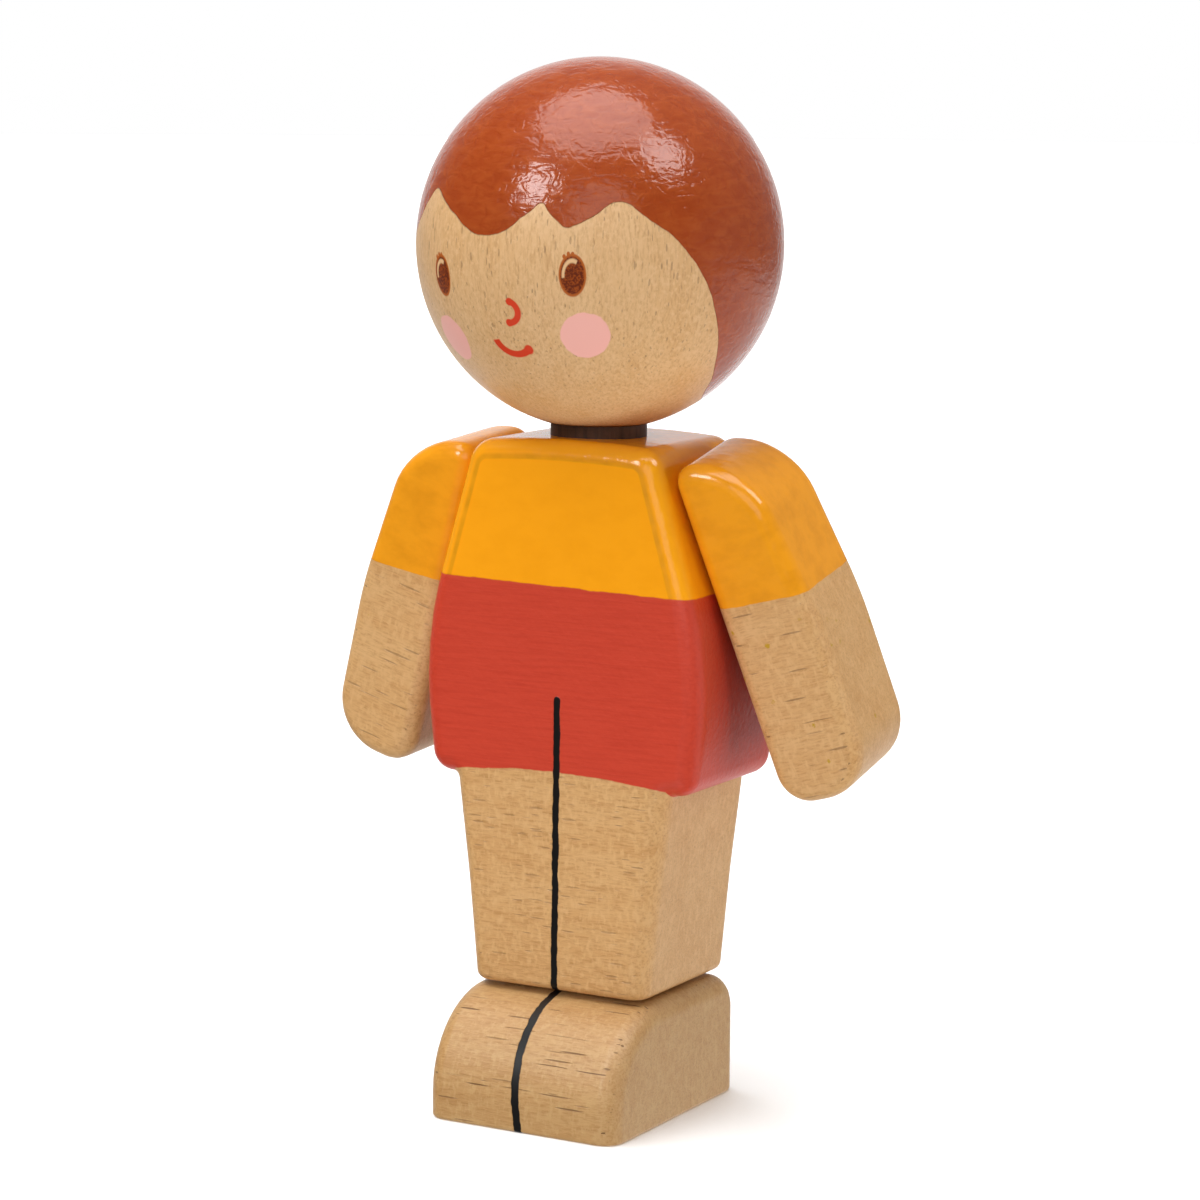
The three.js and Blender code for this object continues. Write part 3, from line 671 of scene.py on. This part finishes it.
# side, way out, swing, turn about the figure, fall of the sleeve's edge, and half a speck's width
# as a share of the gap between specks
ARMS = [("left", 1, 11.0, 0, 0.045, 0.13), ("right", -1, -4.8, 180, 0.1, 0.05)]
for side, way, swing, about, fall_away, speck in ARMS:
    pivot = (way * PIVOT_OUT, BODY_MIDDLE, PIVOT_HEIGHT)
    arm_paint, tree = blank_material("painted and lacquered rubberwood " + side + " arm")
    place = millimetres(tree, pivot, (swing, -SIDE_TILT, about))
    spot = add(tree, "SeparateXYZ", {"Vector": place})
    wander = add(tree, "TexNoise", {"Vector": place, "Scale": 0.5, "Detail": 3.0})
    wood = rubberwood(
        tree, place, along=(way * math.cos(tilt), 0, math.sin(tilt)), pore_gap=0.45,
        pore_length=6.0, pore_dark=0.6)
    sleeve = enamel(tree, place, SLEEVE_YELLOW_SHADED, SLEEVE_DEEP_SHADED, **YELLOW_FINISH)
    smear = add(tree, "TexNoise", {"Vector": place, "Scale": 3.0, "Detail": 2.0})
    smeared = add(tree, "VectorMath", {
        0: smear.outputs["Color"], 1: [SPECK_SMEAR] * 3, 2: place}, operation="MULTIPLY_ADD")
    drops = add(tree, "TexVoronoi", {"Vector": smeared, "Scale": SPECKS_A_MM})
    near = add(tree, "MapRange", {
        "Value": drops.outputs["Distance"], "From Min": speck, "From Max": speck / 2})
    chance = add(tree, "SeparateColor", {"Color": drops.outputs["Color"]})
    chosen = add(tree, "Math", {
        0: chance.outputs["Red"], 1: SPECK_LEFT_OUT}, operation="GREATER_THAN")
    speck_on = add(tree, "Math", {0: near, 1: chosen}, operation="MULTIPLY")
    speck_paint = {"colour": linear(SPECK_YELLOW), "rough": 0.4, "height": 1.0}
    wood = lay_over(tree, wood, speck_paint, speck_on)
    slope = add(tree, "Math", {
        0: spot.outputs["X"], 1: fall_away, 2: spot.outputs["Z"]}, operation="MULTIPLY_ADD")
    slope = add(tree, "Math", {0: wander, 1: SLEEVE_WANDER, 2: slope}, operation="MULTIPLY_ADD")
    sleeve_on = add(tree, "MapRange", {
        "Value": slope, "From Min": SLEEVE_EDGE - PAINT_EDGE, "From Max": SLEEVE_EDGE + PAINT_EDGE})
    show(tree, lay_over(tree, wood, sleeve, sleeve_on))

    arm = sawn_blank(ARM_OUTLINE, ARM_DEPTH, ARM_EDGE_ROUND)
    hang = (
        Matrix.Translation(pivot)
        @ Matrix.Rotation(math.radians(about), 4, "Z")
        @ Matrix.Rotation(math.radians(-SIDE_TILT), 4, "Y")
        @ Matrix.Rotation(math.radians(swing), 4, "X"))
    bmesh.ops.transform(arm, verts=arm.verts, matrix=hang)
    settle("arm_" + side + "_wood", arm, arm_paint, side + "_arm", "arm_wood", "arm_" + side)

# Floor, light and camera
# A plain white paper sweep, soft lamps on all sides, and the camera a little to the figure's left
# and level with the top of its head. The paper is matt and an even white, in clouds of 50 mm.
FLOOR_REACH = 4.0
FLOOR_WHITE, FLOOR_PALE, CLOUDS_A_MM, PAPER_RELIEF = "#fcfcfc", "#fefefe", 0.02, 0.01
floor_paper, tree = blank_material("matt white paper sweep")
place = millimetres(tree)
tooth = add(tree, "TexNoise", {"Vector": place, "Scale": CLOUDS_A_MM, "Detail": 2.0})
colour = add(tree, "Mix", {
    0: tooth, 6: linear(FLOOR_WHITE), 7: linear(FLOOR_PALE)}, data_type="RGBA")
show(tree, {"colour": colour.outputs[2], "rough": 0.9, "height": tooth.outputs[0]}, PAPER_RELIEF)
sheet = bmesh.new()
bmesh.ops.create_circle(sheet, cap_ends=True, segments=96, radius=FLOOR_REACH)
floor_mesh = bpy.data.meshes.new("floor")
sheet.to_mesh(floor_mesh)
sheet.free()
floor_mesh.materials.append(floor_paper)
floor = bpy.data.objects.new("floor", floor_mesh)
bpy.context.scene.collection.objects.link(floor)
# the sweep throws no light up by itself: a lamp below it and the room's own white do that
floor.visible_glossy = False
floor.visible_diffuse = False
floor.visible_shadow = False

# The room shows only in the gloss: dark where the camera stands, lighter behind the figure, white
# where the sweep lies below, and with a bright screen behind on the left. Its soft light is faint.
ROOM_GLOW, ROOM_DARK, ROOM_BEHIND, SWEEP_WHITE = 0.07, 0.08, 0.25, 0.95
SWEEP_FAR, SWEEP_NEAR = -0.1, -0.25
SCREEN_WAY, SCREEN_WHITE = (-0.49, 0.86, 0.12), 0.7
room = bpy.data.worlds.new("bright room, dim behind the camera")
bpy.context.scene.world = room
room.use_nodes = True
tree = room.node_tree
tree.nodes.clear()
ray = add(tree, "LightPath")
way = add(tree, "TexCoord").outputs["Generated"]
ahead = add(tree, "VectorMath", {0: way, 1: (0, -1, 0)}, operation="DOT_PRODUCT")
way_up = add(tree, "SeparateXYZ", {"Vector": way}).outputs["Z"]
sweep = add(tree, "MapRange", {
    "Value": way_up, "From Min": SWEEP_FAR, "From Max": SWEEP_NEAR,
    "To Min": ROOM_BEHIND, "To Max": SWEEP_WHITE})
dim = add(tree, "MapRange", {
    "Value": ahead.outputs["Value"], "From Min": -0.5, "From Max": 0.0,
    "To Min": sweep, "To Max": ROOM_DARK})
behind = add(tree, "VectorMath", {0: way, 1: SCREEN_WAY}, operation="DOT_PRODUCT")
screen = add(tree, "MapRange", {
    "Value": behind.outputs["Value"], "From Min": 0.8, "From Max": 0.97, "To Max": SCREEN_WHITE})
seen = add(tree, "Math", {0: dim, 1: screen}, operation="ADD")
soft = add(tree, "Mix", {0: ray.outputs["Is Diffuse Ray"], 2: seen, 3: ROOM_GLOW})
glow = add(tree, "Math", {0: soft, 1: ray.outputs["Is Camera Ray"]}, operation="MAXIMUM")
sky = add(tree, "Background", {"Color": (1, 1, 1, 1), "Strength": glow})
add(tree, "OutputWorld", {"Surface": sky})

# each lamp: degrees round from the front and up, degrees of spread, power, and whether it lights
# the colours and whether it shows in the gloss
SOFT_LAMPS = [
    ("glint of the lamp ahead", -18, 34, 19, 1.05, False, True),
    ("glint of the lamp on the right", 91, 52, 25, 1.0, False, True),
    ("glint of the lamp overhead", -10, 84, 54, 2.05, False, True),
    ("wide light ahead", -10, 16, 40, 1.12, True, False),
    ("wide light at the camera", 30, 22, 40, 0.45, True, True),
    ("wide light overhead", -60, 76, 60, 3.85, True, False),
    ("wide light on the right", 107, -12, 56, 2.0, True, False),
    ("wide light behind", 200, 35, 90, 1.3, True, False),
    ("light up from the floor", -4, -55, 60, 1.6, True, False),
]
for name, round_at, rise_at, spread, power, lights, shines in SOFT_LAMPS:
    glass = bpy.data.lights.new(name, "SUN")
    glass.angle = math.radians(spread)
    glass.energy = power
    lamp = bpy.data.objects.new(name, glass)
    lamp.visible_diffuse, lamp.visible_glossy = lights, shines
    turn, lift = math.radians(round_at), math.radians(rise_at)
    level = math.cos(lift)
    toward = Vector((math.sin(turn) * level, -math.cos(turn) * level, math.sin(lift)))
    lamp.location = toward
    lamp.rotation_euler = toward.to_track_quat("Z", "Y").to_euler()
    bpy.context.scene.collection.objects.link(lamp)

CAMERA_PLACE = Vector((177.127, -312.046, 101.826)) * MM
CAMERA_ROUND, CAMERA_DOWN, CAMERA_ROLL = 29.5416, 8.3245, 0.4499
CAMERA_SENSOR, CAMERA_LENS = 36.0, 112.965
eye = bpy.data.cameras.new("camera")
eye.sensor_width = CAMERA_SENSOR
eye.lens = CAMERA_LENS
eye.clip_start, eye.clip_end = 0.01, 20.0
camera = bpy.data.objects.new("camera", eye)
camera.matrix_world = (
    Matrix.Translation(CAMERA_PLACE)
    @ Matrix.Rotation(math.radians(CAMERA_ROUND), 4, "Z")
    @ Matrix.Rotation(math.radians(90 - CAMERA_DOWN), 4, "X")
    @ Matrix.Rotation(math.radians(CAMERA_ROLL), 4, "Z"))
bpy.context.scene.collection.objects.link(camera)
bpy.context.scene.camera = camera
bpy.context.scene.view_settings.view_transform = "Standard"
